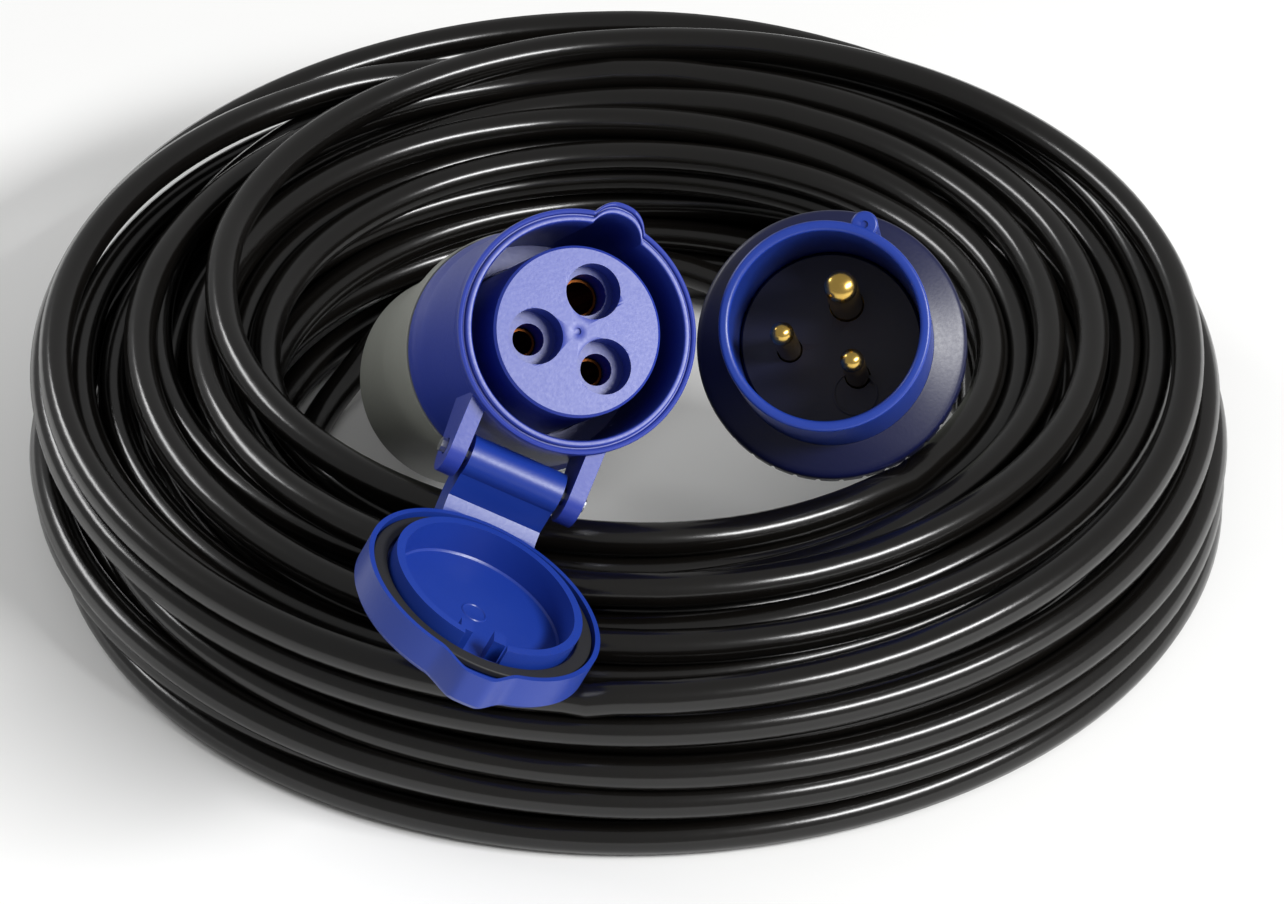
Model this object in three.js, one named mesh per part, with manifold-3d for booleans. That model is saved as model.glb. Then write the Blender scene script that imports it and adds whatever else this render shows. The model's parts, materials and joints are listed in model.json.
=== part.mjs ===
// Shore power cord: a coil of three-core cable with a 16 A plug on one end and a connector on the other.
// Millimetres, +Z up. The coil lies on the floor; both ends stand inside it and lean over its front.
import * as THREE from "three";
import { mergeVertices } from "three/addons/utils/BufferGeometryUtils.js";
import Module from "manifold-3d";

const wasm = await Module();
wasm.setup();

// Driving dimensions.
const gap = 0.3; // between pieces that touch
const cord = { diameter: 7.4, sides: 10, step: 11 };
const coil = { innerRadius: 78.5, outerRadius: 134.5, height: 56, sides: 48, clearance: 1 };
const contacts = { pitchRadius: 9, earthRadius: 3.5, poleRadius: 2.5 };
const shroud = { bore: 22.5, outer: 24.9, lip: 25.4, depth: 36, length: 40.5 };
const keyway = { halfWidth: 4.9, reach: 28.3, groove: 25.9, grooveHalf: 3.7, length: 34 };
const insert = {
  radius: 17.75, recess: 0.8, length: 42.5, counterbore: 5.8, counterboreDepth: 6, sleeveDepth: 13,
};
const hinge = { x: -31.2, z: -9.3, pin: 1.5, bearing: 1.8, barrel: 4.5, earRadius: 5.4, openAngle: 131 };
const ears = { near: 11.6, thickness: 3.6, root: -16, bottom: -18, top: -2.6 };
const lidSize = {
  radius: 25.8, height: 9.5, floor: 5.2, tab: 3.7,
  ringOuter: 20.7, ringInner: 18.9, ringReach: 2.2, latchReach: 0.6,
};
const cup = { bore: 19.75, outer: 22, depth: 37, flange: 29, length: 52 };
const rear = { wall: 2.4, connectorLength: 59, plugLength: 36.5 };
const sheath = { radius: cord.diameter / 2, inside: 22 };

// Where the two ends stand: centre of the rim, the way the face looks, and the way the key points.
const connectorPlace = { rim: [-9.8, -81.4, 96.4], face: [0.288, -0.723, 0.627], key: [0.353, 0.689, 0.633] };
const plugPlace = { rim: [40.8, -71.4, 91], face: [-0.076, -0.767, 0.638], key: [0.365, 0.574, 0.733] };

// Finishes.
const finish = (color, roughness, metalness = 0) =>
  new THREE.MeshStandardMaterial({ color, roughness, metalness });
const blueNylon = finish("#3f55b5", 0.45);
const navyNylon = finish("#1f3f9e", 0.45);
const greyNylon = finish("#b9bcb8", 0.5);
const blackRubber = finish("#17171a", 0.7);
const brass = finish("#c9a14a", 0.3, 1);
const steel = finish("#b8babd", 0.35, 1);
const blackSheath = finish("#1a1715", 0.45);
const coreColours = { earth: "#5c9a3a", line: "#6b4226", neutral: "#2f5fb0" };

// Shapes, as geometries.

// A profile of [radius, height] points turned about Z: it starts and ends on the axis or closes on itself.
function turned(profile, sides = 32) {
  const points = profile.map(([radius, height]) => new THREE.Vector2(radius, height));
  if (THREE.ShapeUtils.area(points) < 0) points.reverse();
  if (points[0].x > 0) points.push(points[0].clone());
  return new THREE.LatheGeometry(points, sides).rotateX(Math.PI / 2);
}

const rod = (radius, low, high, sides = 20) =>
  turned([[0, low], [radius, low], [radius, high], [0, high]], sides);

const tube = (bore, radius, low, high, sides = 20) =>
  turned([[bore, low], [radius, low], [radius, high], [bore, high]], sides);

// A box between two corners.
function block(low, high) {
  const size = high.map((value, i) => value - low[i]);
  const middle = high.map((value, i) => (value + low[i]) / 2);
  return new THREE.BoxGeometry(...size).translate(...middle);
}

// A flat outline in X and Z, given thickness along Y from nearY outwards.
function plate(outline, nearY, thickness) {
  const settings = { depth: thickness, bevelEnabled: false, curveSegments: 10 };
  const made = new THREE.ExtrudeGeometry(outline, settings);
  return made.rotateX(Math.PI / 2).translate(0, nearY + thickness, 0);
}

const outlineOf = (points) => new THREE.Shape(points.map(([x, y]) => new THREE.Vector2(x, y)));

// A round bar along a smooth line through the points.
function bar(points, radius, sides, step) {
  const line = new THREE.CatmullRomCurve3(points.map((p) => new THREE.Vector3(...p)));
  const section = new THREE.Shape();
  for (let i = 0; i < sides; i++) {
    const turn = (2 * Math.PI * i) / sides;
    const corner = [radius * Math.cos(turn), radius * Math.sin(turn)];
    if (i === 0) section.moveTo(...corner);
    else section.lineTo(...corner);
  }
  const steps = Math.max(2, Math.round(line.getLength() / step));
  return new THREE.ExtrudeGeometry(section, { steps, extrudePath: line, curveSegments: 1 });
}

// Joining and cutting.

function solid(geometry) {
  const bare = geometry.clone();
  bare.deleteAttribute("normal");
  bare.deleteAttribute("uv");
  const merged = mergeVertices(bare, 1e-3);
  const triVerts = new Uint32Array(merged.index.array);
  const vertProperties = merged.attributes.position.array;
  return new wasm.Manifold(new wasm.Mesh({ numProp: 3, vertProperties, triVerts }));
}

function geometryOf(body) {
  const { vertProperties, triVerts } = body.getMesh();
  const made = new THREE.BufferGeometry();
  made.setAttribute("position", new THREE.BufferAttribute(vertProperties, 3));
  return made.setIndex(new THREE.BufferAttribute(triVerts, 1));
}

// The first geometry with the others joined to it, and the cutters taken out.
function carved(base, joined, cutters) {
  let body = solid(base);
  for (const piece of joined) body = body.add(solid(piece));
  for (const cutter of cutters) body = body.subtract(solid(cutter));
  return geometryOf(body);
}

function put(group, name, geometry, material) {
  const mesh = new THREE.Mesh(geometry, material);
  mesh.name = name;
  group.add(mesh);
  return mesh;
}

function placed({ rim, face, key }) {
  const group = new THREE.Group();
  const out = new THREE.Vector3(...face).normalize();
  const side = new THREE.Vector3().crossVectors(out, new THREE.Vector3(...key)).normalize();
  const up = new THREE.Vector3().crossVectors(side, out);
  group.matrix.makeBasis(up, side, out).setPosition(...rim);
  group.matrix.decompose(group.position, group.quaternion, group.scale);
  return group;
}

// A slotted screw with its head's top at the origin, pointing along +Z.
function screw(headRadius, headHeight, shankRadius, length) {
  const profile = [[0, 0], [headRadius - 0.4, 0], [headRadius, -0.4], [headRadius, -headHeight],
    [shankRadius, -headHeight], [shankRadius, -length], [0, -length]];
  const slot = block([-headRadius - 1, -0.4, -headHeight * 0.5], [headRadius + 1, 0.4, 1]);
  return carved(turned(profile, 10), [], [slot]);
}

// The three contacts stand on one circle, with the earth under the key.
const poles = [
  { name: "earth", turn: 0, radius: contacts.earthRadius },
  { name: "line", turn: 120, radius: contacts.poleRadius },
  { name: "neutral", turn: 240, radius: contacts.poleRadius },
];
const radians = THREE.MathUtils.degToRad;
const aroundAxis = (geometry, turn) => geometry.rotateZ(radians(turn));

// Terminal block of a contact, at height top down to bottom: a blind wire hole and a screw across it.
const terminal = { length: 11.5, wall: 1.6, wireBore: 1.7, wireDepth: 7, screwBore: 1.5 };

function terminalCutters(bottom) {
  const wire = rod(terminal.wireBore, bottom - 1, bottom + terminal.wireDepth, 12);
  const across = rod(terminal.screwBore, 0, 8, 12).rotateY(Math.PI / 2);
  return [wire, across.translate(0, 0, bottom + terminal.wireDepth / 2)];
}

function terminalScrew(pole, bottom) {
  const head = pole.radius + terminal.wall + gap + 1.5;
  const made = screw(2.2, 1.5, 1.2, head - 1.9).rotateY(Math.PI / 2);
  made.translate(contacts.pitchRadius + head, 0, bottom + terminal.wireDepth / 2);
  return aroundAxis(made, pole.turn);
}

// One insulated core, from its terminal back to the end of the sheath.
function core(pole, bottom, sheathEnd) {
  const reach = sheathEnd - bottom;
  const line = [
    [contacts.pitchRadius, 0, bottom + terminal.wireDepth - 3.2],
    [contacts.pitchRadius, 0, bottom - 1],
    [contacts.pitchRadius * 0.85, 0, bottom + reach * 0.4],
    [3.2, 0, bottom + reach * 0.8],
    [1.75, 0, sheathEnd + 0.8],
  ];
  return aroundAxis(bar(line, 1.3, 8, 4), pole.turn);
}

// Everything behind a front housing is alike on both ends. front is the height of its back face.
function addRearEnd(group, prefix, front, length) {
  const end = front - length;
  const steps = [[26.2, 0], [26.2, 7], [25.2, 7.8], [25.2, 17], [24.4, 17.8], [24.4, 27], [23.6, 27.8],
    [23.6, length - 7], [21.4, length - 1.6], [18.4, length]];
  const nose = [[13.2, length], [13.2, length + 6], [9.6, length + 6], [9.6, length - 4]];
  const inside = [[20.2 - rear.wall, length - 4], [23.6 - rear.wall, length - 9], [23.6 - rear.wall, 10],
    [22.4, 6], [22.4, 0]];
  const profile = [...steps, ...nose, ...inside].map(([radius, down]) => [radius, front - gap - down]);
  const saddleAt = end + 10;
  const seat = block([-21, -11, saddleAt - 3], [-0.4, 11, saddleAt + 3]);
  const channel = rod(sheath.radius + gap, saddleAt - 5, saddleAt + 5, 20);
  const saddleScrewHoles = [-8, 8].map((y) => rod(1.9, -14, 10, 12).rotateY(Math.PI / 2)
    .translate(0, y, saddleAt));
  put(group, prefix + "_rear_shell", carved(turned(profile, 28), [seat], [channel, ...saddleScrewHoles]),
    greyNylon);

  const saddle = block([gap, -11, saddleAt - 3], [7, 11, saddleAt + 3]);
  put(group, prefix + "_cord_clamp", carved(saddle, [], [channel.clone(), ...saddleScrewHoles]), greyNylon);
  [-8, 8].forEach((y, i) => {
    const made = screw(3, 2.2, 1.5, 16).rotateY(Math.PI / 2).translate(9.5 + gap, y, saddleAt);
    put(group, prefix + "_clamp_screw_" + (i + 1), made, steel);
  });

  const nutTop = end - gap - 0.3;
  const nut = [[13.6, 0], [16, 0], [16.4, 1], [16.4, 9], [15.4, 11], [12.6, 16], [6.6, 16], [6.6, 9],
    [13.6, 6.6]];
  put(group, prefix + "_gland_nut", turned(nut.map(([r, down]) => [r, nutTop - down]), 24), greyNylon);

  // The sleeve that eases the bend of the cord: a collar under the nut, then a long taper.
  const bore = sheath.radius + gap;
  const sleeve = [[bore, 0], [9.2, 0], [9.2, 4.6], [6.2, 8.6], [6.2, 17], [4.9, 34], [bore, 34]];
  const sleeveTop = end + 1.6;
  put(group, prefix + "_strain_relief", turned(sleeve.map(([r, down]) => [r, sleeveTop - down]), 24),
    blackRubber);
  const exit = sleeveTop - 34;
  put(group, prefix + "_sheath_end", rod(sheath.radius, exit, end + sheath.inside, cord.sides), blackSheath);
  return { exit, sheathEnd: end + sheath.inside };
}

// Connector: its rim lies in the group's X-Y plane, it looks along +Z, and the keyway points along +X.
const connector = placed(connectorPlace);
{
  const back = -shroud.length;
  const wall = [[shroud.bore, -shroud.depth], [shroud.bore, 0], [23.8, 0], [24, -0.7],
    [shroud.lip, -0.9], [shroud.lip, -3.5], [shroud.outer, -4.4], [shroud.outer, -34],
    [25.8, -36], [25.8, back], [22.4, back], [22.4, back + 2], [18.05, back + 2], [18.05, -shroud.depth]];
  const bump = new THREE.ExtrudeGeometry(
    outlineOf([[23.6, -6.2], [25.4, -keyway.halfWidth], [27.4, -3.8], [keyway.reach, -1.8],
      [keyway.reach, 1.8], [27.4, 3.8], [25.4, keyway.halfWidth], [23.6, 6.2]]),
    { depth: keyway.length, bevelEnabled: false },
  ).translate(0, 0, -keyway.length);
  const groove = block([20, -keyway.grooveHalf, -keyway.length - 1], [keyway.groove, keyway.grooveHalf, 1]);
  const earOutline = new THREE.Shape();
  earOutline.absarc(hinge.x, hinge.z, hinge.earRadius, Math.PI / 2, 1.4 * Math.PI, false);
  earOutline.lineTo(ears.root, ears.bottom);
  earOutline.lineTo(ears.root, ears.top);
  const earPlates = [ears.near, -ears.near - ears.thickness].map((y) => {
    const ear = solid(plate(earOutline, y, ears.thickness));
    return geometryOf(ear.subtract(solid(rod(shroud.bore + 0.5, -shroud.depth, 5, 36))));
  });
  const pinHole = rod(hinge.bearing, -30, 30, 16).rotateX(Math.PI / 2).translate(hinge.x, 0, hinge.z);
  put(connector, "connector_shell", carved(turned(wall, 36), [bump, ...earPlates], [groove, pinHole]),
    blueNylon);

  const plugOf = [[0, -insert.recess], [insert.radius, -insert.recess], [insert.radius, back + 2 - gap],
    [22.1, back + 2 - gap], [22.1, -insert.length], [0, -insert.length]];
  const wells = poles.flatMap((pole) => [
    aroundAxis(rod(insert.counterbore, -insert.recess - insert.counterboreDepth, 1, 16)
      .translate(contacts.pitchRadius, 0, 0), pole.turn),
    aroundAxis(rod(pole.radius + 0.85, -insert.length - 1, 0, 14)
      .translate(contacts.pitchRadius, 0, 0), pole.turn),
  ]);
  put(connector, "socket_insert", carved(turned(plugOf, 32), [], wells), blueNylon);

  const bottom = -insert.length - gap - terminal.length;
  const { exit, sheathEnd } = addRearEnd(connector, "connector", back, rear.connectorLength);
  for (const pole of poles) {
    const outer = pole.radius + 0.55;
    const boss = pole.radius + terminal.wall;
    const bore = pole.radius + 0.05;
    const mouth = -insert.sleeveDepth;
    const sleeve = [[0, bottom], [boss, bottom], [boss, -insert.length - gap], [outer, -insert.length - gap],
      [outer, mouth], [bore, mouth], [bore, -40], [0, -40]];
    const made = carved(turned(sleeve, 14), [], terminalCutters(bottom));
    put(connector, "contact_sleeve_" + pole.name,
      aroundAxis(made.translate(contacts.pitchRadius, 0, 0), pole.turn), brass);
    put(connector, "connector_terminal_screw_" + pole.name, terminalScrew(pole, bottom), steel);
    put(connector, "connector_core_" + pole.name, core(pole, bottom, sheathEnd),
      finish(coreColours[pole.name], 0.5));
  }
  connector.userData.exit = exit;

  put(connector, "hinge_pin", rod(hinge.pin, -16.4, 16.4, 14).rotateX(Math.PI / 2)
    .translate(hinge.x, 0, hinge.z), steel);
  const springPoints = [];
  const spring = { turns: 6, radius: 2.35, wire: 0.4, length: 12, perTurn: 9 };
  const springSteps = spring.turns * spring.perTurn;
  for (let i = 0; i <= springSteps; i++) {
    const turn = (2 * Math.PI * i) / spring.perTurn;
    const along = spring.length * (i / springSteps - 0.5);
    const across = spring.radius * Math.cos(turn);
    springPoints.push([hinge.x + across, along, hinge.z + spring.radius * Math.sin(turn)]);
  }
  put(connector, "lid_spring", bar(springPoints, spring.wire, 5, 1.8), steel);
}

// The lid's own frame sits on the hinge: shut, its axes are the connector's.
const lid = new THREE.Group();
lid.position.set(hinge.x, 0, hinge.z);
lid.rotation.y = -radians(hinge.openAngle);
connector.add(lid);
{
  const centre = -hinge.x;
  const lidArm = ears.near - 1.2;
  const face = -hinge.z + gap; // underside of the lid when it is shut, just clear of the rim
  const top = face + lidSize.height;
  const lidEdge = lidSize.radius + lidSize.tab;
  const cap = [[0, face + lidSize.floor], [lidSize.ringInner, face + lidSize.floor],
    [lidSize.ringInner, face - lidSize.ringReach], [lidSize.ringOuter, face - lidSize.ringReach],
    [lidSize.ringOuter, face + 2.6], [24.7, face + 2.6], [24.7, face], [lidSize.radius, face],
    [lidSize.radius, top - 2.6], [24.2, top - 1], [20, top - 0.3], [0, top]];
  const arm = outlineOf([[-4.3, 0.4], [-4.4, 8], [-2.4, 13], [2, top - 1.6], [11, top - 1.6],
    [11, face + 3], [5.4, face + 0.4], [3.6, 8], [3.9, 0.4]]);
  const barrel = rod(hinge.barrel, -lidArm, lidArm, 24).rotateX(Math.PI / 2);
  const tab = new THREE.ExtrudeGeometry(
    outlineOf([[23, -8], [27.6, -6.4], [lidEdge, -4], [lidEdge, 4], [27.6, 6.4], [23, 8]]),
    { depth: 4.5, bevelEnabled: false },
  ).translate(centre, 0, face);
  const latches = [-3.6, 3.6].map((y) =>
    block([centre + 12.6, y - 1.3, face - lidSize.latchReach],
      [centre + 16.2, y + 1.3, face + lidSize.floor + 1]));
  const ringGap = block([centre + 18, -4.6, face - 4], [centre + 21.6, 4.6, face + 2.5]);
  const gasketSeat = tube(lidSize.ringOuter + 0.1, 24.7, face - 0.5, face + 2.6, 36);
  const bearing = rod(hinge.bearing, -13, 13, 16).rotateX(Math.PI / 2);
  const springRoom = rod(3.2, -8, 8, 16).rotateX(Math.PI / 2);
  const body = carved(turned(cap, 36).translate(centre, 0, 0),
    [plate(arm, -lidArm, 2 * lidArm), barrel, tab, ...latches],
    [ringGap, gasketSeat.translate(centre, 0, 0), bearing, springRoom]);
  put(lid, "lid", body, navyNylon);
  put(lid, "lid_gasket", tube(lidSize.ringOuter + 0.5, 24.4, face + 0.9, face + 2.3, 32)
    .translate(centre, 0, 0), blackRubber);
}

// Plug: the same frame as the connector, with the rim of its shroud at the origin.
const plug = placed(plugPlace);
{
  const back = -cup.length;
  const wall = [[cup.bore, -cup.depth], [cup.bore, -0.6], [20.3, 0], [21.4, 0], [cup.outer, -0.6],
    [cup.outer, -cup.depth + 1.4], [27.4, -cup.depth - 0.6], [cup.flange, -cup.depth - 2.4],
    [cup.flange, -46], [26.2, -47.4], [26.2, back], [22.4, back], [22.4, back + 6], [16, back + 6],
    [16, -cup.depth - 6.3], [cup.bore, -cup.depth - 6.3]];
  const rib = new THREE.ExtrudeGeometry(
    outlineOf([[21, -3], [23.8, -2.9], [25.1, -1.8], [25.5, 0], [25.1, 1.8], [23.8, 2.9], [21, 3]]),
    { depth: cup.depth - 1, bevelEnabled: false },
  ).translate(0, 0, -cup.depth + 0.4);
  put(plug, "plug_shell", carved(turned(wall, 36), [rib], []), navyNylon);

  const carrierTop = -cup.depth;
  const carrierBottom = carrierTop - 6;
  const seats = poles.map((pole) => aroundAxis(
    rod(pole.radius + gap, carrierBottom - 1, carrierTop + 1, 16).translate(contacts.pitchRadius, 0, 0),
    pole.turn));
  put(plug, "pin_carrier", carved(rod(cup.bore - gap, carrierBottom, carrierTop, 32), [], seats), navyNylon);

  const bottom = carrierBottom - gap - terminal.length;
  const { exit, sheathEnd } = addRearEnd(plug, "plug", back, rear.plugLength);
  for (const pole of poles) {
    const boss = pole.radius + terminal.wall;
    const pin = [[0, bottom], [boss, bottom], [boss, carrierBottom - gap], [pole.radius, carrierBottom - gap],
      [pole.radius, -2.6], [pole.radius * 0.75, -1.1], [pole.radius * 0.4, -0.5], [0, -0.3]];
    const made = carved(turned(pin, 16), [], terminalCutters(bottom));
    put(plug, pole.name + "_pin", aroundAxis(made.translate(contacts.pitchRadius, 0, 0), pole.turn), brass);
    put(plug, "plug_terminal_screw_" + pole.name, terminalScrew(pole, bottom), steel);
    put(plug, "plug_core_" + pole.name, core(pole, bottom, sheathEnd), finish(coreColours[pole.name], 0.5));
  }
  plug.userData.exit = exit;
}

// The two ends, the coil and its loose ends are laid out with the coil's axis near the origin.
const layout = new THREE.Group();
layout.add(connector, plug);
layout.updateMatrixWorld(true);

function worldSolid(geometry, group) {
  return solid(geometry.clone().applyMatrix4(group.matrixWorld));
}

// The coil stands for all its turns: one ring, hollowed where the lid and the plug's flange lie on it.
const { innerRadius, outerRadius, height } = coil;
const coilProfile = (grow) => [
  [innerRadius - grow, 5 - grow], [innerRadius + 5 - grow, -grow], [outerRadius - 6 + grow, -grow],
  [outerRadius + grow, 6 - grow], [outerRadius + grow, height - 20 + grow],
  [outerRadius - 4 + grow, height - 9 + grow], [outerRadius - 13 + grow, height - 1.5 + grow],
  [outerRadius - 20 + grow, height + grow], [innerRadius + 12 - grow, height + grow],
  [innerRadius + 4 - grow, height - 4 + grow], [innerRadius - grow, height - 13 + grow],
];
const ring = solid(turned(coilProfile(0), coil.sides));
const lidReach = lidSize.radius + lidSize.tab + coil.clearance;
const lidBack = -hinge.z + lidSize.height + coil.clearance;
const lidBed = rod(lidReach, 0, lidBack, 28).translate(-hinge.x, 0, 0);
const armBed = block([-6, -13, -6], [11, 13, lidBack]);
const flangeBed = rod(cup.flange + coil.clearance, -cup.length, -cup.depth + coil.clearance, 28);
let bedded = ring.subtract(worldSolid(lidBed, lid));
bedded = bedded.subtract(worldSolid(armBed, lid));
bedded = bedded.subtract(worldSolid(flangeBed, plug));
put(layout, "cord_coil", geometryOf(bedded), blackSheath);

// A loose end starts in line with its sleeve and stops where it dives under or into the coil.
function looseEnd(group, name, points) {
  const at = (down) => group.localToWorld(new THREE.Vector3(0, 0, group.userData.exit - down)).toArray();
  const line = [at(gap), at(4), ...points];
  const body = solid(bar(line, sheath.radius, cord.sides, cord.step));
  const grown = solid(turned(coilProfile(gap), coil.sides));
  const kept = body.subtract(grown).decompose().sort((a, b) => b.volume() - a.volume())[0];
  put(layout, name, geometryOf(kept), blackSheath);
}
const floor = sheath.radius + 0.4;
looseEnd(connector, "cord_end_at_connector", [
  [-50.3, 21.7, 8.3], [-51.1, 28.4, 5.8], [-50.6, 36.9, 4.4], [-48.3, 45.6, floor], [-44.2, 53.3, floor],
  [-38.4, 59.9, floor], [-31.2, 65.4, floor], [-22.6, 69.6, floor], [-12, 72.8, floor], [0, 74.4, floor],
  [13, 74.4, floor], [26.5, 73.2, floor], [40, 71, floor],
]);
looseEnd(plug, "cord_end_at_plug", [
  [50.3, 29, 8.5], [49.6, 35.6, 5.8], [47.6, 43.1, 4.3], [44, 51, floor], [38.8, 57.8, 4.4],
  [32.2, 63.3, 6.2], [24.3, 67, 9], [14, 70.4, 11.6], [2, 72.6, 12.6], [-10, 72.8, 12.7], [-22, 70.3, 12.7],
  [-33, 66, 12.7], [-43, 60, 12.6], [-51.5, 53, 12], [-58.6, 45.2, 9.2], [-64.6, 36.2, 5.4],
  [-69.5, 26, floor], [-73, 14, floor], [-74.4, 1, floor], [-73.4, -12, floor], [-69.8, -26, floor],
  [-63.5, -39, floor], [-54.5, -50.8, floor], [-43.5, -60.5, floor], [-30.5, -68, floor],
  [-16.5, -72.6, floor], [-2, -74.4, floor], [13, -73.3, floor], [27, -69.3, floor],
  [40, -62.8, floor], [51.5, -53.7, floor], [61, -42.4, floor], [67.6, -29.5, 4.8], [71, -16, 6.8],
  [72.8, -2, 10.4], [75.8, 11, 16], [80, 23, 23], [85.5, 35, 30],
]);

// The part's origin is on the floor, under the middle of its outer box.
const part = new THREE.Group();
part.add(layout);
const box = new THREE.Box3().setFromObject(layout, true);
const middle = box.getCenter(new THREE.Vector3());
layout.position.set(-middle.x, -middle.y, -box.min.z);

export default part;
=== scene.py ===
import bpy
import json
import math
import random
import numpy as np
from mathutils import Matrix, Vector, kdtree


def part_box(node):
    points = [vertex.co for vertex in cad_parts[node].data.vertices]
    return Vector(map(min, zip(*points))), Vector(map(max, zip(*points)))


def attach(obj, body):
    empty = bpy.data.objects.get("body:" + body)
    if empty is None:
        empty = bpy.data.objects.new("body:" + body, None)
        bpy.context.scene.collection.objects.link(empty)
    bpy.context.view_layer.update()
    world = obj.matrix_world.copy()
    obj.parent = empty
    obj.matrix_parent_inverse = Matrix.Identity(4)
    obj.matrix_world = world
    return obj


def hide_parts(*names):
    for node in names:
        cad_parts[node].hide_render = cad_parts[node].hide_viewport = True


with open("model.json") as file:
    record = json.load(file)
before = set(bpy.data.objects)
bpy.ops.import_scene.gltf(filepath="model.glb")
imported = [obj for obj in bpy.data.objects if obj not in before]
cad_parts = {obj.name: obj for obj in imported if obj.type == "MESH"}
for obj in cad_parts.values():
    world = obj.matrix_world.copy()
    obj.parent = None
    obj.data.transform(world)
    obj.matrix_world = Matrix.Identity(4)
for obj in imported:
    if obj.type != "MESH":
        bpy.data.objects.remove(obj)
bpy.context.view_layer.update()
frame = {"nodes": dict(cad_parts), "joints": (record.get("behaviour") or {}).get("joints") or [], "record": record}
bpy.ops.object.select_all(action="DESELECT")
mm = 0.001


def mountOf(name):
    return next(m for m in frame["record"]["mounts"] if m["name"] == name)


def standing(origin, up, out):
    # local X points at the key, local Z out of the face
    z = Vector(out).normalized()
    x = (Vector(up) - z * z.dot(Vector(up))).normalized()
    turn = Matrix((x, z.cross(x), z)).transposed().to_4x4()
    return Matrix.Translation(Vector(origin)) @ turn


def nodeMiddle(name):
    low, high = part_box(name)
    return (low + high) / 2


hingeJoint = next(j for j in frame["joints"] if j["name"] == "lid_hinge")
faceMount = mountOf("connector_face")
faceOut = Vector(faceMount["axis"])
connectorPlace = standing(Vector(faceMount["pos_m"]) + faceOut * 0.8 * mm,
                          Vector(hingeJoint["axis"]).cross(faceOut), faceOut)
rimMount = mountOf("plug_rim")
rimOut = Vector(rimMount["axis"])
rimMiddle = nodeMiddle("pin_carrier") + rimOut * 40 * mm
plugPlace = standing(rimMiddle, rimMiddle - Vector(rimMount["pos_m"]), rimOut)
lidPlace = Matrix.Translation(Vector(hingeJoint["pos_m"])) @ connectorPlace.to_3x3().to_4x4() \
    @ Matrix.Rotation(-math.radians(hingeJoint["range_deg"][1]), 4, "Y")

# --- camera first
viewSide = {"lens": 140.2, "tilt": 54.7, "place": (0.0031, -0.9186, 0.6670)}
bpy.ops.object.camera_add(location=viewSide["place"], rotation=(math.radians(viewSide["tilt"]), 0, 0))
camera = bpy.context.object
camera.data.lens = viewSide["lens"]
camera.data.sensor_width = 36
bpy.context.scene.camera = camera

cordData = {
    "diameter": 7.4, "floor": 4.1, "turns": 36, "perTurn": 60, "spacing": 5.0, "seed": 11,
    "inner": 82.5, "outer": 130.5, "top": 52, "settle": 420, "sink": 0.012, "attempts": 70,
    "stiffness": ((12, 0.2), (6, 0.2), (3, 0.2), (1, 0.22)),  # over how many points, how strongly
    "lean": 3, "sway": 7, "frontRise": 0.25,
    "firstTurnAt": 60.6, "lastTurnEndsAt": 150,  # degrees round from the left side
    "wall": 81.5, "looseWall": 72, "outerWall": 131.5, "ceiling": 53, "frontCeiling": 58,
    "clearance": 0.3, "reach": 3,
}
ringMiddle = Vector((0, 11.534, 0))  # the ring's axis, from the part's origin, in mm
connectorTail = [(-50.3, 21.7, 8.3), (-51.1, 28.4, 5.8), (-50.6, 36.9, 4.4), (-48.3, 45.6, 4.1),
                 (-44.2, 53.3, 4.1), (-38.4, 59.9, 4.1), (-31.2, 65.4, 4.1), (-22.6, 69.6, 4.1),
                 (-12, 72.8, 4.1), (0, 74.4, 4.1), (13, 74.4, 4.1), (26.5, 73.2, 4.1), (40, 71, 4.1)]
plugTail = [(50.3, 29, 8.5), (49.6, 35.6, 5.8), (47.6, 43.1, 4.3), (44, 51, 4.1), (38.8, 57.8, 4.4),
            (32.2, 63.3, 6.2), (24.3, 67, 9), (14, 70.4, 11.6), (2, 72.6, 12.6), (-10, 72.8, 12.7),
            (-22, 70.3, 12.7), (-33, 66, 12.7), (-43, 60, 12.6), (-51.5, 53, 12), (-58.6, 45.2, 9.2),
            (-64.6, 36.2, 5.4), (-69.5, 26, 4.1), (-73, 14, 4.1), (-74.4, 1, 4.1), (-73.4, -12, 4.1),
            (-69.8, -26, 4.1), (-63.5, -39, 4.1), (-54.5, -50.8, 4.1), (-43.5, -60.5, 4.1), (-30.5, -68, 4.1),
            (-16.5, -72.6, 4.1), (-2, -74.4, 4.1), (13, -73.3, 4.1), (27, -69.3, 4.1), (40, -62.8, 4.1),
            (51.5, -53.7, 4.1), (61, -42.4, 4.1), (67.6, -29.5, 4.8), (71, -16, 6.8), (72.8, -2, 10.4),
            (75.8, 11, 16), (80, 23, 23), (85.5, 35, 30)]
exitDown = {"connector": -131.9, "plug": -120.9}


def sleeveEnd(place, down):
    return [place @ Vector((0, 0, (down - back) * mm)) / mm - ringMiddle for back in (0.3, 4)]


def evenLine(points, spacing):
    # evenly spaced points along a smooth line through the given ones
    p = np.array([list(q) for q in points], float)
    before = 2 * p[0] - p[1]
    after = 2 * p[-1] - p[-2]
    p = np.vstack([before, p, after])
    fine = []
    for i in range(1, len(p) - 2):
        a, b, c, d = p[i - 1], p[i], p[i + 1], p[i + 2]
        for t in np.linspace(0, 1, 12, endpoint=False):
            fine.append(0.5 * (2 * b + (c - a) * t + (2 * a - 5 * b + 4 * c - d) * t * t
                               + (3 * b - a - 3 * c + d) * t ** 3))
    fine.append(p[-2])
    fine = np.array(fine)
    run = np.concatenate([[0], np.cumsum(np.linalg.norm(np.diff(fine, axis=0), axis=1))])
    count = max(2, int(round(run[-1] / spacing)) + 1)
    at = np.linspace(0, run[-1], count)
    return np.stack([np.interp(at, run, fine[:, k]) for k in range(3)], 1)


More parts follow.
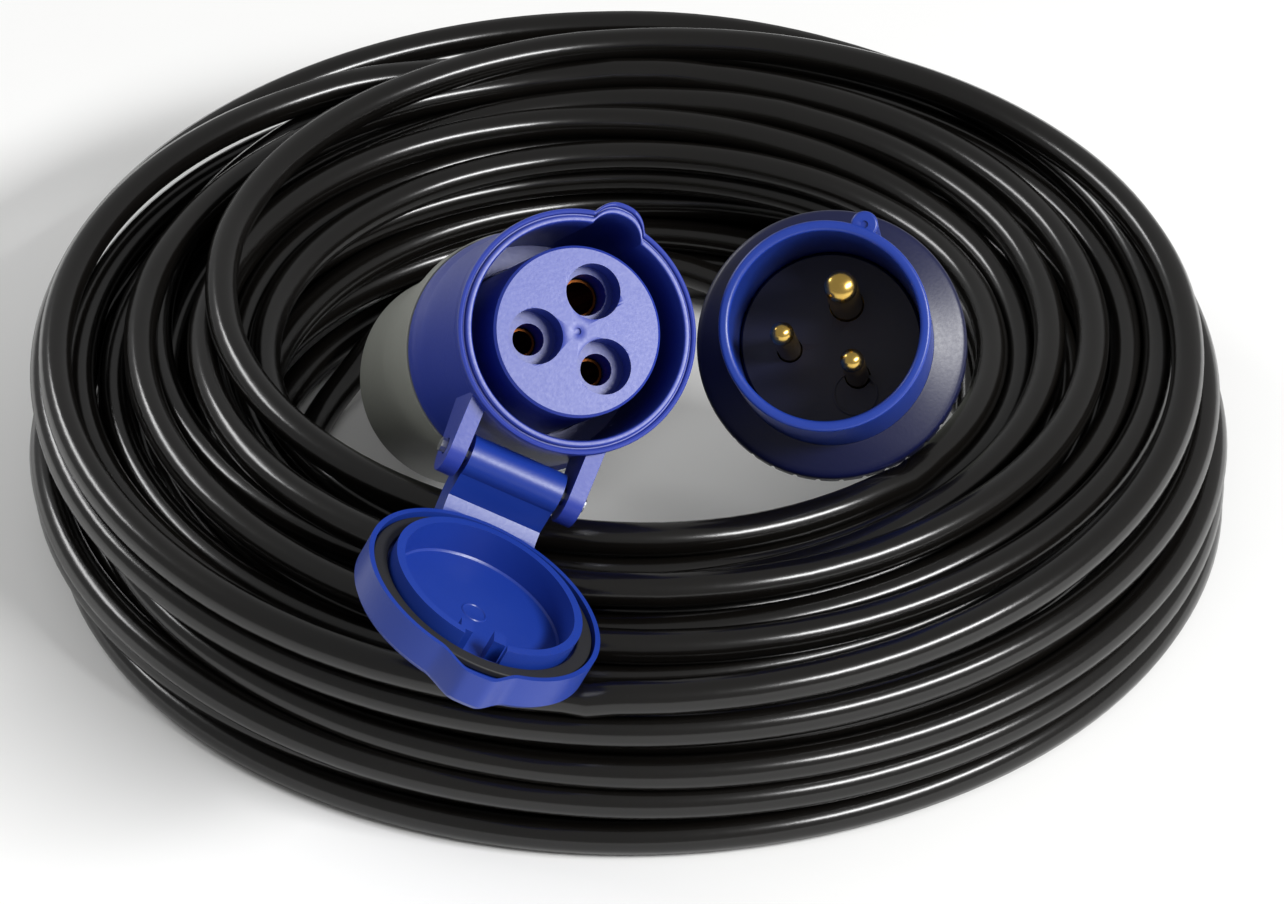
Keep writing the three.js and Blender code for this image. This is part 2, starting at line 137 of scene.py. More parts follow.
def heightLimit(r, angle):
    # how high the heap may stand at this radius: steep inside at the front, a long slope at right and back
    right = 0.5 + 0.5 * math.cos(angle - math.radians(25))
    steep = min(1, max(0, (0.05 - 0.5 * math.sin(angle)) / 0.3))
    slope = 2.2 - 1.0 * right
    inner = 16 + 8 * (1 - right) + (r - 82) * slope + 24 * steep
    outer = 52 - max(0, r - 121) * 1.1
    return min(51 + 3 * steep, inner + 8 * steep, outer + 3 * steep)


def eased(share):
    return share * share * (3 - 2 * share)


def woundTurns(c):
    # each turn is laid where the heap so far is lowest, picked from many loose ways round
    d, n = c["diameter"], c["perTurn"]
    dice = random.Random(c["seed"])
    phase = 2 * np.pi * np.arange(n) / n
    angles = np.pi - phase  # clockwise from the left side
    nearest, furthest = 70, 145
    limits = np.array([[heightLimit(r, a) for r in range(nearest, furthest)] for a in angles])
    radii = np.full((c["turns"] + 2, n), np.nan)
    heights = np.full((c["turns"] + 2, n), -50.0)
    firstStart = int(round((180 - c["firstTurnAt"]) / 360 * n))
    previous = c["inner"]
    tops = []
    for turn in range(c["turns"] + 1):
        best = None
        last = turn == c["turns"]
        for attempt in range(1 if (turn == 0 or last) else c["attempts"]):
            if turn == 0:
                level, sway, secondSway = 83.5, 0, 0
            else:
                level = dice.uniform(c["inner"], c["outer"])
                sway = dice.uniform(0, 1) ** 1.5 * c["sway"]
                secondSway = dice.uniform(0, 1.5)
            swayAt, secondAt = dice.uniform(0, 6.28), dice.uniform(0, 6.28)
            # upper turns lie further back
            lean = c["lean"] * min(1, 1.6 * turn / c["turns"]) * np.sin(angles)
            target = level + lean + sway * np.sin(phase + swayAt) + secondSway * np.sin(2 * phase + secondAt)
            target = np.clip(target, c["inner"], c["outer"])
            if last:
                target = np.interp(np.degrees(phase), [0, 60, 110, 157.7, 360], [108, 108, 103, 92.4, 92.4])
            share = np.clip(np.arange(n) / (n * dice.uniform(0.3, 0.55)), 0, 1)
            way = previous + eased(share) * (target - previous)
            gap = np.abs(way[None, :] - radii[:turn])
            touch = np.where(gap < d, heights[:turn] + np.sqrt(np.maximum(d * d - gap * gap, 0)), -50)
            need = np.full(n, c["floor"])
            if turn:
                need = np.maximum(need, np.nanmax(np.where(np.isnan(touch), -50, touch), axis=0))
            wide = np.max([np.roll(need, k) for k in range(-2, 3)], axis=0)
            smooth = sum(np.roll(wide, k) * w for k, w in zip(range(-3, 4), (1, 2, 3, 4, 3, 2, 1))) / 16
            smooth = np.maximum(smooth, need)
            column = np.clip(way - nearest, 0, furthest - nearest - 1).astype(int)
            over = np.maximum(0, smooth - limits[np.arange(n), column])
            cost = smooth.mean() + 0.3 * smooth.max() + 0.10 * abs(level - previous) \
                + 5 * over.mean() + 1.5 * over.max() + dice.uniform(0, 2)
            if best is None or cost < best[0]:
                best = (cost, way, smooth)
        radii[turn], heights[turn] = best[1], best[2]
        previous = best[1][-1]
        tops.append(best[2].max())
    # the loosely stacked heap is pressed to the ring's own height before it settles
    squeeze = min(1, (c["top"] - c["floor"]) / (max(tops) - c["floor"]))
    front = np.clip(0.6 - 1.2 * np.sin(angles), 0, 1)
    heights = c["floor"] + (heights - c["floor"]) * squeeze * (1 + c["frontRise"] * front)
    runOut = eased(np.clip((np.degrees(phase) - 60) / 97.7, 0, 1))
    heights[c["turns"]] += (plugTail[-1][2] - heights[c["turns"]]) * runOut
    points = []
    for turn in range(c["turns"] + 1):
        for i in range(n):
            if turn == 0 and i <= firstStart:
                continue
            if turn == c["turns"] and phase[i] > math.radians(c["lastTurnEndsAt"]):
                break
            r, a = radii[turn, i], angles[i]
            points.append((r * math.cos(a), r * math.sin(a), heights[turn, i]))
    return points


def bodyPush(points, place, profile, grow):
    # moves points out of a turned body given as (height, radius) along the place's axis
    inverse = place.inverted()
    m = np.array(inverse)
    local = (points + np.array(ringMiddle)) * mm @ m[:3, :3].T + m[:3, 3]
    local /= mm
    heights = [h for h, _ in profile]
    radius = np.interp(local[:, 2], heights, [r for _, r in profile], left=-99, right=-99) + grow
    away = np.hypot(local[:, 0], local[:, 1])
    inside = away < radius
    scale = np.where(inside, radius / np.maximum(away, 0.1), 1)
    local[:, 0] *= scale
    local[:, 1] *= scale
    back = np.array(place)
    return (local * mm @ back[:3, :3].T + back[:3, 3]) / mm - np.array(ringMiddle)


plugBody = [(-122, 5), (-104, 9.5), (-88, 18), (-87, 26.2), (-52, 26.4), (-46, 29), (-39, 29), (-37, 22.4),
            (1, 22.4)]
connectorBody = [(-133, 5), (-115, 9.5), (-99, 18), (-98, 26.2), (-40.5, 26.4), (-34, 25.4), (1, 28)]


def lidPush(points, grow):
    # moves points out from under the open lid and its arm, in the lid's own frame
    inverse = np.array(lidPlace.inverted())
    local = ((points + np.array(ringMiddle)) * mm @ inverse[:3, :3].T + inverse[:3, 3]) / mm
    lidMiddle, lidTop = 31.2, 19.3
    away = np.hypot(local[:, 0] - lidMiddle, local[:, 1])
    under = (away < 29.8 + grow * 0.7) & (local[:, 2] > -14) & (local[:, 2] < lidTop + grow)
    armed = (np.abs(local[:, 1]) < 11 + grow) & (local[:, 0] > -5 - grow) & (local[:, 0] < 12) \
        & (local[:, 2] > -6 - grow) & (local[:, 2] < 17.8 + grow)
    hit = under | armed
    local[hit, 2] = np.minimum(lidTop + grow, local[hit, 2] + 1.5)
    back = np.array(lidPlace)
    return (local * mm @ back[:3, :3].T + back[:3, 3]) / mm - np.array(ringMiddle)


def settled(points, held, c):
    # strands push each other apart, sink, and keep their length and easy bends
    d, grow = c["diameter"], c["diameter"] / 2 + c["clearance"]
    p = points.copy()
    free = ~held
    n = len(p)
    rest = np.linalg.norm(np.diff(p, axis=0), axis=1)
    least = np.full(n, c["wall"])
    least[-330:] = c["looseWall"]  # the last turn comes down the inner slope
    least[:40] = c["looseWall"]
    for step in range(c["settle"]):
        if step % 8 == 0:
            tree = kdtree.KDTree(n)
            for i, q in enumerate(p):
                tree.insert(q, i)
            tree.balance()
            found = [(i, j) for i in range(n) for _, j, _ in tree.find_range(p[i], d + c["reach"])
                     if j > i + 4]
            pairs = np.array(found, int)
        if step < c["settle"] - 30:
            p[free, 2] -= c["sink"]
        # bends ease out in radius and height, where a plain round turn is at rest
        for reach, strength in c["stiffness"]:
            away = np.hypot(p[:, 0], p[:, 1])
            fields = np.stack([away, p[:, 2]], 1)
            bow = np.zeros_like(fields)
            bow[reach:-reach] = (fields[:-2 * reach] + fields[2 * reach:]) / 2 - fields[reach:-reach]
            ease = np.zeros_like(fields)
            inner = slice(2 * reach, -2 * reach)
            ease[inner] = strength * (bow[inner] - (bow[reach:-3 * reach] + bow[3 * reach:-reach]) / 2)
            p[free, :2] *= (1 + ease[free, 0] / away[free])[:, None]
            p[free, 2] += ease[free, 1]
        gap = np.diff(p, axis=0)
        length = np.linalg.norm(gap, axis=1)
        fix = gap * ((length - rest) / np.maximum(length, 1e-6))[:, None] * 0.4
        move = np.zeros_like(p)
        move[:-1] += fix
        move[1:] -= fix
        p[free] += move[free]
        for _ in range(2):
            i, j = pairs[:, 0], pairs[:, 1]
            gap = p[j] - p[i]
            away = np.linalg.norm(gap, axis=1)
            near = away < d
            i, j, gap, away = i[near], j[near], gap[near], np.maximum(away[near], 0.05)
            push = gap * ((d - away) / away * 0.5)[:, None] * 0.6
            share = np.zeros_like(p)
            hits = np.zeros(n)
            np.add.at(share, i, -push)
            np.add.at(share, j, push)
            np.add.at(hits, i, 1)
            np.add.at(hits, j, 1)
            share /= np.maximum(1, hits / 2)[:, None]
            p[free] += share[free]
        out = bodyPush(p, plugPlace, plugBody, grow)
        out = bodyPush(out, connectorPlace, connectorBody, grow)
        out = lidPush(out, grow)
        p[free] = out[free]
        away = np.hypot(p[:, 0], p[:, 1])
        keep = np.clip(away, least, c["outerWall"]) / np.maximum(away, 1)
        p[free, :2] *= keep[free, None]
        ceiling = np.interp(p[free, 1], [-50, 0], [c["frontCeiling"], c["ceiling"]])
        p[free, 2] = np.clip(p[free, 2], d / 2 + 0.05, ceiling)
    away = np.linalg.norm(p[pairs[:, 1]] - p[pairs[:, 0]], axis=1)
    print("strands settled, the closest", round(float(away.min()), 2), "mm apart")
    return p


def cordRoute(c):
    head = sleeveEnd(connectorPlace, exitDown["connector"]) + [Vector(p) for p in connectorTail]
    tail = sleeveEnd(plugPlace, exitDown["plug"]) + [Vector(p) for p in plugTail]
    head, tail = evenLine(head, c["spacing"]), evenLine(tail, c["spacing"])[::-1]
    turns = woundTurns(c)
    joined = [Vector(p) for p in head[::3]] + [Vector(p) for p in turns] + [Vector(p) for p in tail[::3]]
    whole = evenLine(joined, c["spacing"])
    held = np.zeros(len(whole), bool)  # the loose ends stay put, apart from where they join the turns
    held[:len(head) - 12] = True
    held[22 - len(tail):] = True
    return (settled(whole, held, c) + np.array(ringMiddle)) * mm


route = cordRoute(cordData)


# --- materials
def linear(code):
    parts = [int(code[i:i + 2], 16) / 255 for i in (1, 3, 5)]
    return [v / 12.92 if v <= 0.04045 else ((v + 0.055) / 1.055) ** 2.4 for v in parts] + [1]


def addNode(tree, kind, settings=None, links=None):
    node = tree.nodes.new(kind)
    for key, value in (settings or {}).items():
        if key in node.inputs:
            node.inputs[key].default_value = value
        else:
            setattr(node, key, value)
    for key, socket in (links or {}).items():
        tree.links.new(socket, node.inputs[key])
    return node


def surface(name, base, second, roughness, grain, depth, metallic=0.0, spread=0.08):
    # grain is the size of the surface's texture and depth its height, both in mm
    made = bpy.data.materials.new(name)
    made.use_nodes = True
    tree = made.node_tree
    shader = tree.nodes["Principled BSDF"]
    place = addNode(tree, "ShaderNodeTexCoord")
    fine = addNode(tree, "ShaderNodeTexNoise", {"Scale": 1 / (grain * mm), "Detail": 4.0, "Roughness": 0.6},
                   {"Vector": place.outputs["Object"]})
    wide = addNode(tree, "ShaderNodeTexNoise", {"Scale": 1 / (28 * mm), "Detail": 3.0},
                   {"Vector": place.outputs["Object"]})
    tint = addNode(tree, "ShaderNodeMix", {"data_type": "RGBA"}, {0: wide.outputs["Fac"]})
    tint.inputs[6].default_value = linear(base)
    tint.inputs[7].default_value = linear(second)
    tree.links.new(tint.outputs[2], shader.inputs["Base Color"])
    rough = addNode(tree, "ShaderNodeMapRange", {"To Min": roughness - spread, "To Max": roughness + spread},
                    {"Value": fine.outputs["Fac"]})
    tree.links.new(rough.outputs["Result"], shader.inputs["Roughness"])
    bump = addNode(tree, "ShaderNodeBump", {"Strength": 0.35, "Distance": depth * mm},
                   {"Height": fine.outputs["Fac"]})
    tree.links.new(bump.outputs["Normal"], shader.inputs["Normal"])
    shader.inputs["Metallic"].default_value = metallic
    return made


finishes = {
    # moulded nylon: satin, with the faint mottle of a spark-eroded mould
    "blueNylon": surface("mouldedNylonBlue", "#22338f", "#283b98", 0.37, 0.7, 0.05),
    "navyNylon": surface("mouldedNylonNavy", "#142f86", "#1b3a96", 0.34, 0.7, 0.05),
    # the same plastic, darkened to a blue that is nearly black: painted shade on the plug's collar and the floor
    # of its cup
    "paintedShadeNylon": surface("mouldedNylonPaintedShade", "#0a0f30", "#0e1440", 0.38, 0.7, 0.05),
    # light grey plastic set darker than its own colour: painted shade on the rear housings, nuts and the other
    # grey parts
    "greyNylonWithShade": surface("mouldedNylonGrey", "#7f817a", "#8e9089", 0.45, 0.6, 0.06),
    # moulded rubber: matt, a little dusty
    "blackRubber": surface("mouldedRubber", "#141416", "#1f1f21", 0.62, 0.5, 0.06),
    # turned brass: bright, fine lathe marks
    "turnedBrass": surface("turnedBrass", "#c8a24e", "#d8b868", 0.24, 0.4, 0.02, metallic=1.0),
    # the contacts deep inside: a brown brass, darkened as painted shade for how deep they sit in the holes
    "brownBrassWithShade": surface("brownBrassWithShade", "#5a3216", "#6b3e1c", 0.4, 0.4, 0.02, metallic=1.0),
    "zincSteel": surface("zincPlatedSteel", "#b4b7ba", "#c6c8ca", 0.32, 0.5, 0.02, metallic=1.0),
    # extruded PVC sheath: near black, warm, with a semi-gloss skin
    "pvcSheath": surface("extrudedPvcSheath", "#0a0908", "#100e0c", 0.2, 2.2, 0.03, spread=0.03),
    "earthCore": surface("pvcInsulationGreen", "#4f9038", "#6aa848", 0.4, 0.8, 0.02),
    "lineCore": surface("pvcInsulationBrown", "#5f3a20", "#74492c", 0.4, 0.8, 0.02),
    "neutralCore": surface("pvcInsulationBlue", "#2a58a4", "#3868b8", 0.4, 0.8, 0.02),
}


def paint(piece, key):
    piece.data.materials.clear()
    piece.data.materials.append(finishes[key])


# --- the cable
def cordPiece():
    shape = bpy.data.curves.new("cable", "CURVE")
    shape.dimensions = "3D"
    shape.bevel_depth = cordData["diameter"] / 2 * mm
    shape.bevel_resolution = 4
    shape.use_fill_caps = True
    line = shape.splines.new("POLY")
    line.points.add(len(route) - 1)
    for point, place in zip(line.points, route):
        point.co = (*place, 1)
    line.use_smooth = True
    piece = bpy.data.objects.new("cable", shape)
    bpy.context.scene.collection.objects.link(piece)
    paint(piece, "pvcSheath")
    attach(piece, "root")
    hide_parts("cord_coil", "cord_end_at_connector", "cord_end_at_plug")
    return piece


cable = cordPiece()


# --- modelling helpers, in mm in a piece's own frame
def turnedShape(name, profile, sides=128):
    # a ring of edges, drawn out and resized from one profile point to the next
    radius, height = profile[0]
    bpy.ops.mesh.primitive_circle_add(vertices=sides, radius=max(radius, 0.01) * mm,
                                      location=(0, 0, height * mm))
    piece = bpy.context.object
    piece.name = name
    bpy.ops.object.transform_apply(location=True, rotation=True, scale=True)
    bpy.ops.object.mode_set(mode="EDIT")
    bpy.ops.mesh.select_all(action="SELECT")
    closed = radius > 0
    for nextRadius, nextHeight in profile[1:] + ([profile[0]] if closed else []):
        target = max(nextRadius, 0.01)
        ratio = target / max(radius, 0.01)
        bpy.ops.mesh.extrude_region_move()
        bpy.ops.transform.resize(value=(ratio, ratio, 1), center_override=(0, 0, 0))
        bpy.ops.transform.translate(value=(0, 0, (nextHeight - height) * mm))
        radius, height = nextRadius, nextHeight
    bpy.ops.mesh.select_all(action="SELECT")
    bpy.ops.mesh.remove_doubles(threshold=0.03 * mm)
    bpy.ops.mesh.normals_make_consistent(inside=False)
    bpy.ops.object.mode_set(mode="OBJECT")
    return piece


def drawnShape(name, outline, low, high):
    # a flat outline in X and Z, filled and drawn out along Y
    bpy.ops.mesh.primitive_circle_add(vertices=len(outline), radius=mm)
    piece = bpy.context.object
    piece.name = name
    for vertex, (a, b) in zip(piece.data.vertices, outline):
        vertex.co = (a * mm, low * mm, b * mm)
    bpy.ops.object.mode_set(mode="EDIT")
    bpy.ops.mesh.select_all(action="SELECT")
    bpy.ops.mesh.edge_face_add()
    bpy.ops.mesh.extrude_region_move(TRANSFORM_OT_translate={"value": (0, (high - low) * mm, 0)})
    bpy.ops.mesh.select_all(action="SELECT")
    bpy.ops.mesh.normals_make_consistent(inside=False)
    bpy.ops.object.mode_set(mode="OBJECT")
    return piece


def rodShape(radius, low, high, sides=64, at=(0, 0), across=False):
    turn = (math.pi / 2, 0, 0) if across else (0, 0, 0)
    middle = (low + high) / 2 * mm
    place = (at[0] * mm, middle, at[1] * mm) if across else (at[0] * mm, at[1] * mm, middle)
    bpy.ops.mesh.primitive_cylinder_add(vertices=sides, radius=radius * mm, depth=(high - low) * mm,
                                        location=place, rotation=turn)
    piece = bpy.context.object
    bpy.ops.object.transform_apply(location=True, rotation=True, scale=True)
    return piece


def blockShape(low, high):
    middle = [(a + b) / 2 * mm for a, b in zip(low, high)]
    bpy.ops.mesh.primitive_cube_add(size=1, location=middle)
    piece = bpy.context.object
    piece.scale = [(b - a) * mm for a, b in zip(low, high)]
    bpy.ops.object.transform_apply(location=True, rotation=True, scale=True)
    return piece


def only(piece):
    bpy.ops.object.select_all(action="DESELECT")
    piece.select_set(True)
    bpy.context.view_layer.objects.active = piece


def moved(piece, x, y=0):
    piece.location = (x * mm, y * mm, 0)
    only(piece)
    bpy.ops.object.transform_apply(location=True, rotation=True, scale=True)


def combine(piece, others, operation):
    for other in others:
        only(piece)
        change = piece.modifiers.new("combine", "BOOLEAN")
        change.operation = operation
        change.solver = "EXACT"
        change.object = other
        bpy.ops.object.modifier_apply(modifier=change.name)
        bpy.data.objects.remove(other)
    return piece


def smoothed(piece):
    # smooth over small angles, with the large flat faces left flat
    only(piece)
    bpy.ops.object.shade_smooth_by_angle(angle=math.radians(35))
    weighted = piece.modifiers.new("flatFaces", "WEIGHTED_NORMAL")
    weighted.keep_sharp = True
    bpy.ops.object.modifier_apply(modifier=weighted.name)
    return piece


def corner(middle, radius, first, last, steps=5):
    # a round corner of a profile, from one angle to another
    turns = [math.radians(first + (last - first) * i / (steps - 1)) for i in range(steps)]
    return [(middle[0] + radius * math.cos(t), middle[1] + radius * math.sin(t)) for t in turns]


def rounded(piece, width, angle=32, segments=3):
    only(piece)
    soft = piece.modifiers.new("rounding", "BEVEL")
    soft.width = width * mm
    soft.segments = segments
    soft.limit_method = "ANGLE"
    soft.angle_limit = math.radians(angle)
    bpy.ops.object.modifier_apply(modifier=soft.name)
    return smoothed(piece)


def setUp(piece, place, body, key, slot, *nodes):
    # puts a finished piece where the frame has it
    piece.matrix_world = place
    only(piece)
    bpy.ops.object.transform_apply(location=True, rotation=True, scale=True)
    paint(piece, key)
    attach(piece, body)
    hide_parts(*nodes)
    return piece


def atPole(turn, radius=9):
    return (radius * math.cos(math.radians(turn)), radius * math.sin(math.radians(turn)))


poles = {"earth": (0, 3.5), "line": (120, 2.5), "neutral": (240, 2.5)}


# --- rear ends, alike on plug and connector
rearData = {"steps": [(26.2, 0), (26.2, 7), (25.2, 7.8), (25.2, 17), (24.4, 17.8), (24.4, 27), (23.6, 27.8)],
            "flutes": 18, "ribs": 7, "ribPitch": 3.3}


def rearEnd(prefix, place, front, length):
    end = front - length
    steps = rearData["steps"] + [(23.6, length - 7), (22.9, length - 4), (21.4, length - 1.6), (18.4, length),
                                 (13.2, length), (13.2, length + 6), (9.6, length + 6), (9.6, length - 4),
                                 (17.8, length - 4), (21.2, length - 9), (21.2, 10), (22.4, 6), (22.4, 0)]
    shell = turnedShape(prefix + "RearHousing", [(r, front - 0.3 - down) for r, down in steps])
    setUp(rounded(shell, 0.35), place, "root", "greyNylonWithShade", "grey_housing", prefix + "_rear_shell")
    top = end - 0.6
    nutSides = [(13.6, 0), (16, 0), (16.4, 1), (16.4, 9), (15.4, 11), (12.6, 16), (6.6, 16), (6.6, 9),
                (13.6, 6.6)]
    nut = turnedShape(prefix + "GlandNut", [(r, top - down) for r, down in nutSides], 96)
    flutes = [rodShape(1.1, top - 10, top - 0.5, 20, atPole(turn, 17.1))
              for turn in range(0, 360, 360 // rearData["flutes"])]
    combine(nut, flutes, "DIFFERENCE")
    setUp(rounded(nut, 0.3), place, "root", "greyNylonWithShade", "grey_housing", prefix + "_gland_nut")
    sleeveTop = end + 1.6
    ribs = []
    for i in range(rearData["ribs"]):
        down, wide = 9.5 + i * rearData["ribPitch"], 6.15 - i * 0.16
        ribs += [(wide, down), (wide, down + 2.1), (wide - 0.75, down + 2.5), (wide - 0.75, down + 3.0)]
    sleeveSides = [(4.0, 0), (9.2, 0), (9.2, 4.6)] + ribs + [(4.9, 33.2), (4.7, 34), (4.0, 34)]
    sleeve = turnedShape(prefix + "BendSleeve", [(r, sleeveTop - down) for r, down in sleeveSides], 64)
    setUp(rounded(sleeve, 0.2), place, "root", "blackRubber", "black_rubber", prefix + "_strain_relief")


rearEnd("connector", connectorPlace, -40.5, 59)
rearEnd("plug", plugPlace, -52, 36.5)
print("rear ends made")


# --- connector front
socketData = {"bore": 22.5, "lip": 25.4, "back": -40.5, "depth": -36, "keyHalf": 5.4, "keyOut": 3.2,
              "keyEnd": -34, "ear": 3.6}


def bulged(piece, half, reach, inner, deepest):
    # the wall swells outwards over the keyway, in a round arch
    for vertex in piece.data.vertices:
        x, y, z = (v / mm for v in vertex.co)
        away = math.hypot(x, y)
        if x > 0 and away > inner and z > deepest:
            share = max(0, 1 - (abs(y) / half) ** 2.6)
            grow = reach * share ** 0.7
            vertex.co.x = (x + grow) * mm
    return piece


def connectorFront(c):
    back, depth = c["back"], c["depth"]
    wall = [(c["bore"], depth), (c["bore"], -20), (c["bore"], -0.5), (22.8, 0), (23.6, 0), (23.85, -0.3),
            (23.9, -1.1), (24.3, -1.1), (24.4, -0.6), (24.8, -0.45), (25.3, -0.6), (c["lip"], -1),
            (c["lip"], -3.5), (24.9, -4.4), (24.9, -20), (24.9, -34), (25.8, -36), (25.8, back),
            (22.4, back), (22.4, back + 2), (18.05, back + 2), (18.05, depth)]
    shell = turnedShape("connectorHousing", wall, 360)
    bulged(shell, c["keyHalf"], c["keyOut"], 21, c["keyEnd"])
    for low in (11.6, -15.2):
        arc = [(-31.2 + 5.4 * math.cos(math.radians(t)), -9.3 + 5.4 * math.sin(math.radians(t)))
               for t in range(90, 253, 9)]
        ear = drawnShape("ear", arc + [(-16, -18), (-16, -2.6)], low, low + c["ear"])
        combine(ear, [rodShape(23.6, -40, 5, 128)], "DIFFERENCE")
        combine(shell, [ear], "UNION")
    combine(shell, [rodShape(1.8, -30, 30, 48, (-31.2, -9.3), True)], "DIFFERENCE")
    setUp(rounded(shell, 0.25, 40, 2), connectorPlace, "root", "blueNylon", "blue_housing", "connector_shell")

    face = turnedShape("socketFace", [(0, -0.8), (2.2, -0.8), (12, -0.8), (17.2, -0.8), (17.75, -1.3),
                                      (17.75, -38.8), (22.1, -38.8), (22.1, -42.5), (0, -42.5)], 160)
    cutters = []
    for turn, pin in poles.values():
        cutters.append(rodShape(5.8, -6.8, 1, 72, atPole(turn)))
        cutters.append(rodShape(pin + 0.85, -43.5, 0, 56, atPole(turn)))
    cutters.append(turnedShape("dimple", [(0, -1.2), (0.7, -1.2), (0.95, 1), (0, 1)], 32))
    combine(face, cutters, "DIFFERENCE")
    setUp(rounded(face, 0.22, 40, 2), connectorPlace, "root", "blueNylon", "blue_housing", "socket_insert")


connectorFront(socketData)
print("connector front made")


# --- lid, in its own frame on the hinge
lidData = {"middle": 31.2, "face": 9.6, "radius": 25.8, "height": 9.5, "floor": 5.2, "tab": 3.7}


def lidPiece(c):
    face, middle, top = c["face"], c["middle"], c["face"] + c["height"]
    inside = face + c["floor"]
    sides = [(0, inside), (2.3, inside), (2.45, face + 5.0), (2.7, face + 5.0), (2.85, inside),
             (18.5, inside), (18.9, face + 4.8), (18.9, face - 2.2), (20.7, face - 2.2), (20.7, face + 2.6),
             (24.7, face + 2.6), (24.7, face), (c["radius"], face), (c["radius"], top - 2.6),
             (24.9, top - 1.5), (22.6, top - 0.6), (18, top - 0.2), (0, top)]
    lid = turnedShape("lidShell", sides, 216)
    for vertex in lid.data.vertices:
        x, y, z = (v / mm for v in vertex.co)
        if x > 0 and math.hypot(x, y) > 24.2:
            share = eased(min(1, max(0, (8.6 - abs(y)) / 6.4)))
            vertex.co.x = (x + c["tab"] * share) * mm
    moved(lid, middle)
    combine(lid, [blockShape((middle + 18, -4.6, face - 4), (middle + 21.6, 4.6, face + 2.5))], "DIFFERENCE")
    armSide = [(-4.3, 0.4), (-4.4, 8), (-3.7, 10.8), (-2.4, 13), (-0.6, 15.6), (2, top - 1.6),
               (11, top - 1.6), (11, face + 3), (5.4, face + 0.4), (3.6, 8), (3.9, 0.4)]
    arm = drawnShape("arm", armSide, -10.4, 10.4)
    barrel = rodShape(4.5, -10.4, 10.4, 72, (0, 0), True)
    latches = [blockShape((middle + 12.6, y - 1.3, face - 0.6), (middle + 16.2, y + 1.3, face + 6.2))
               for y in (-3.6, 3.6)]
    combine(lid, [arm, barrel] + latches, "UNION")
    combine(lid, [rodShape(1.8, -13, 13, 40, (0, 0), True), rodShape(3.2, -8, 8, 40, (0, 0), True)],
            "DIFFERENCE")
    setUp(rounded(lid, 0.35, 38, 3), lidPlace, "lid", "navyNylon", "navy_housing", "lid")
    seal = turnedShape("lidSeal", [(21.2, face + 0.9), (24.4, face + 0.9), (24.4, face + 2.3),
                                   (21.2, face + 2.3)], 144)
    moved(seal, middle)
    setUp(rounded(seal, 0.4), lidPlace, "lid", "blackRubber", "black_rubber", "lid_gasket")


lidPiece(lidData)
print("lid made")


# --- plug front
plugData = {"bore": 19.75, "outer": 22, "depth": -37, "flange": 29, "grips": 36}


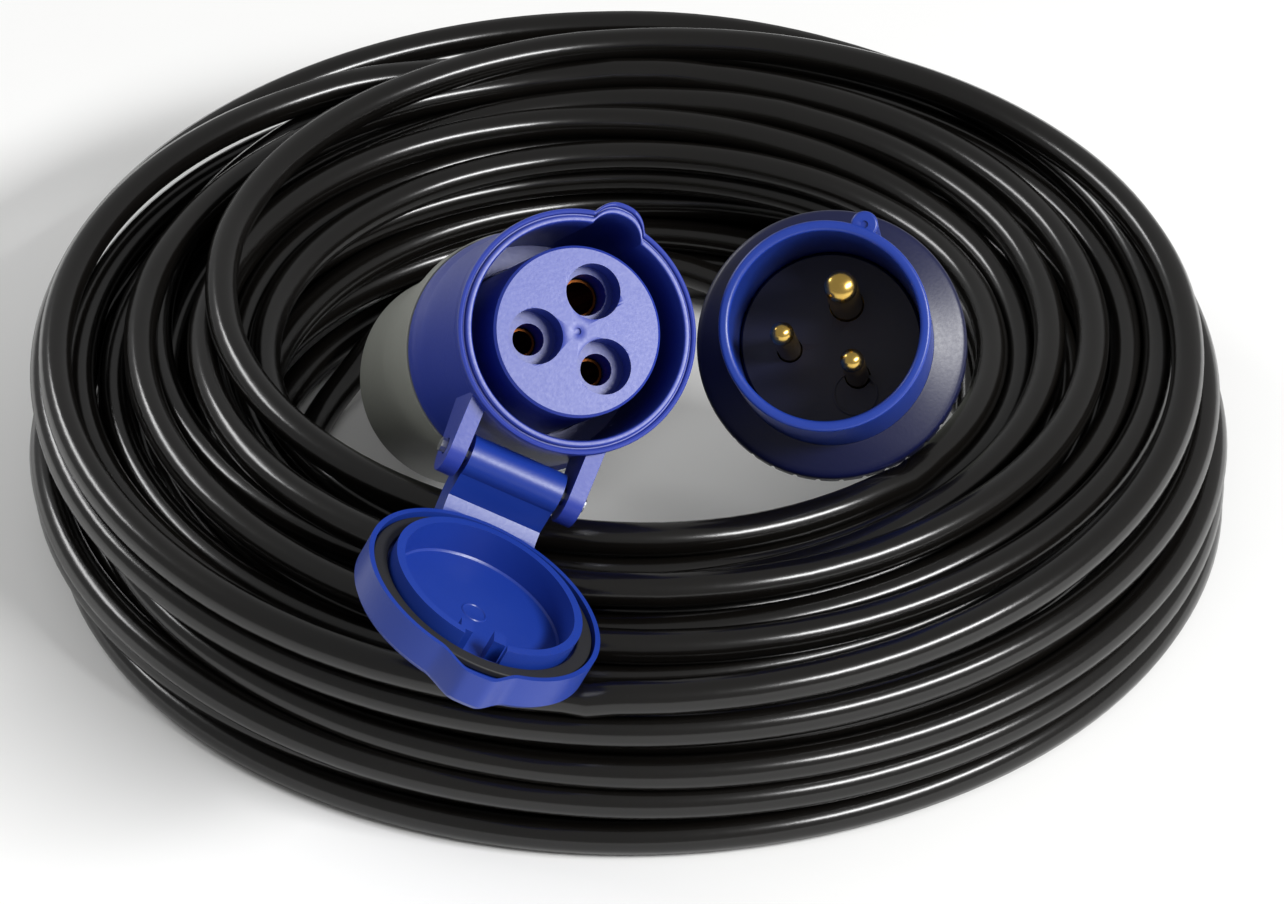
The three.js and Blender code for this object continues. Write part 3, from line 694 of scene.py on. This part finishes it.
def plugFront(c):
    depth, bore, outer, flange = c["depth"], c["bore"], c["outer"], c["flange"]
    inner, outside = corner((bore + 0.9, -0.9), 0.9, 180, 90), corner((outer - 0.7, -0.7), 0.7, 90, 0)
    tube = [(bore, -43.3)] + inner + outside + [(outer, -12), (outer, -24), (outer, -43.3)]
    shroud = turnedShape("plugShroud", tube, 192)
    bead = rounded(rodShape(2.85, -42, -0.6, 48, (22.65, 0)), 0.6, segments=4)
    combine(bead, [rodShape(0.8, -1.1, 0, 24, (22.65, 0))], "DIFFERENCE")
    combine(shroud, [bead], "UNION")
    setUp(smoothed(shroud), plugPlace, "root", "navyNylon", "navy_housing", "plug_shell")
    slope = [(outer + 0.05, depth + 1.4), (22.6, depth + 1.2), (24, depth + 0.6), (27.2, depth - 0.5)]
    behind = [(flange, -45.6), (28.6, -46.3), (26.6, -47.2), (26.2, -47.8), (26.2, -51.6), (25.8, -52),
              (22.4, -52), (22.4, -46), (16, -46), (16, -43.35), (outer + 0.05, -43.35)]
    collar = turnedShape("plugCollar", slope + corner((flange - 1.4, depth - 2.2), 1.4, 70, 0) + behind, 192)
    grips = [rodShape(0.7, -46.6, -39.4, 16, atPole(turn, 29.35))
             for turn in range(5, 360, 360 // c["grips"])]
    combine(collar, grips, "DIFFERENCE")
    # the collar gets the near-black blue, which is painted shade
    setUp(smoothed(collar), plugPlace, "root", "paintedShadeNylon", "navy_housing", "plug_shell")
    disc = [(0, depth), (19, depth), (19.45, depth - 0.4), (19.45, -43), (0, -43)]
    floor = turnedShape("pinCarrier", disc, 128)
    combine(floor, [rodShape(pin + 0.3, -45, -30, 48, atPole(turn)) for turn, pin in poles.values()],
            "DIFFERENCE")
    ring = turnedShape("mouldRing", [(4.3, depth - 0.5), (4.9, depth - 0.5), (4.9, depth + 0.5),
                                     (4.3, depth + 0.5)], 64)
    moved(ring, *atPole(227, 11.9))
    combine(floor, [ring], "UNION")
    # the cup's floor gets the same near-black blue, painted shade
    setUp(rounded(floor, 0.2, 40, 2), plugPlace, "root", "paintedShadeNylon", "navy_housing", "pin_carrier")
    for name, (turn, radius) in poles.items():
        dome = [(radius * math.cos(math.radians(t)), -3 + 2.7 * math.sin(math.radians(t)))
                for t in range(0, 90, 10)]
        boss = radius + 1.6
        pin = turnedShape(name + "Pin", [(0, -54.8), (boss, -54.8), (boss, -43.3), (radius, -43.3)] + dome
                          + [(0, -0.3)], 64)
        moved(pin, *atPole(turn))
        setUp(rounded(pin, 0.15, 50, 2), plugPlace, "root", "turnedBrass", "brass_contact", name + "_pin")


plugFront(plugData)
print("plug front made")

# --- what stays as the frame has it gets its finish
for name, node in frame["nodes"].items():
    if node.hide_render:
        continue
    if "core_" in name:
        key = name.split("_")[-1] + "Core"
    elif "sleeve" in name:
        # the sleeves deep in the holes get the brown brass darkened as painted shade
        key = "brownBrassWithShade"
    elif "screw" in name or "pin" in name or "spring" in name:
        key = "zincSteel"
    elif "sheath" in name:
        key = "pvcSheath"
    else:
        key = "greyNylonWithShade"
    paint(node, key)

# --- floor and light
bpy.ops.mesh.primitive_plane_add(size=6, location=(0, 0, 0))
ground = bpy.context.object
ground.name = "paleFloor"
ground.data.materials.append(surface("matPaper", "#fbfbfa", "#fdfdfc", 0.85, 2.0, 0.0))


def lamp(name, place, size, power, aim=(0, 0, 0.03)):
    bpy.ops.object.light_add(type="AREA", location=place)
    made = bpy.context.object
    made.name = name
    made.data.shape = "RECTANGLE"
    made.data.size, made.data.size_y = size
    made.data.energy = power
    made.rotation_euler = (Vector(aim) - Vector(place)).to_track_quat("-Z", "Y").to_euler()


lamp("windowRight", (0.86, -0.66, 0.8), (0.8, 0.22), 20)
lamp("windowLeft", (-0.95, 0.55, 0.75), (0.7, 0.16), 5)
world = bpy.data.worlds.new("paleRoom")
world.use_nodes = True
world.node_tree.nodes["Background"].inputs["Color"].default_value = (1, 1, 1, 1)
world.node_tree.nodes["Background"].inputs["Strength"].default_value = 0.36
bpy.context.scene.world = world
bpy.context.scene.view_settings.view_transform = "Standard"
print("floor and light made")
